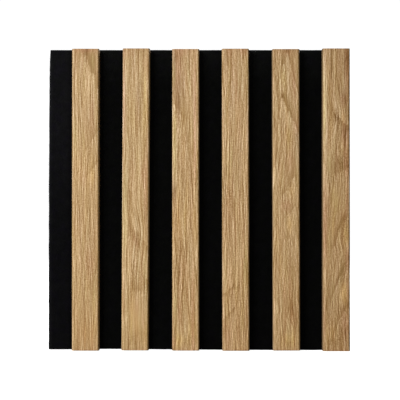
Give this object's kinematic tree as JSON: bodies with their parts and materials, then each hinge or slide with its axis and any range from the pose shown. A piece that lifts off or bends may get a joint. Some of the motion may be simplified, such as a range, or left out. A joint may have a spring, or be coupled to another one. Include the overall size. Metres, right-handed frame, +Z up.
{
  "type": "acoustic slat wall panel",
  "caption": "Square wall tile: upright oak-veneered MDF slats with rounded edges, evenly spaced on a black felt sheet that runs one gap past the first slat and ends flush with the last.",
  "frame": {"origin": "middle of the felt's back face, which lies on the wall", "axes": "+Z up along the slats, +Y into the wall, so the slats face -Y, and +X to the right as seen from the room"},
  "size_m": [0.3001, 0.021, 0.3014],
  "materials": {
    "felt": "matt, fuzzy, pressed polyester felt",
    "mdf": "raw sawn edge",
    "oak": "satin, clear-coated natural oak",
    "glue": "smooth",
    "staple_wire": "galvanised"
  },
  "bodies": {
    "root": {"felt_backing": "felt", "slat_core_1": "mdf", "slat_core_2": "mdf", "slat_core_3": "mdf", "slat_core_4": "mdf", "slat_core_5": "mdf", "slat_core_6": "mdf", "oak_veneer_1": "oak", "oak_veneer_2": "oak", "oak_veneer_3": "oak", "oak_veneer_4": "oak", "oak_veneer_5": "oak", "oak_veneer_6": "oak", "glue_bead_1": "glue", "glue_bead_2": "glue", "glue_bead_3": "glue", "glue_bead_4": "glue", "glue_bead_5": "glue", "glue_bead_6": "glue", "staples": "staple_wire"}
  },
  "joints": []
}
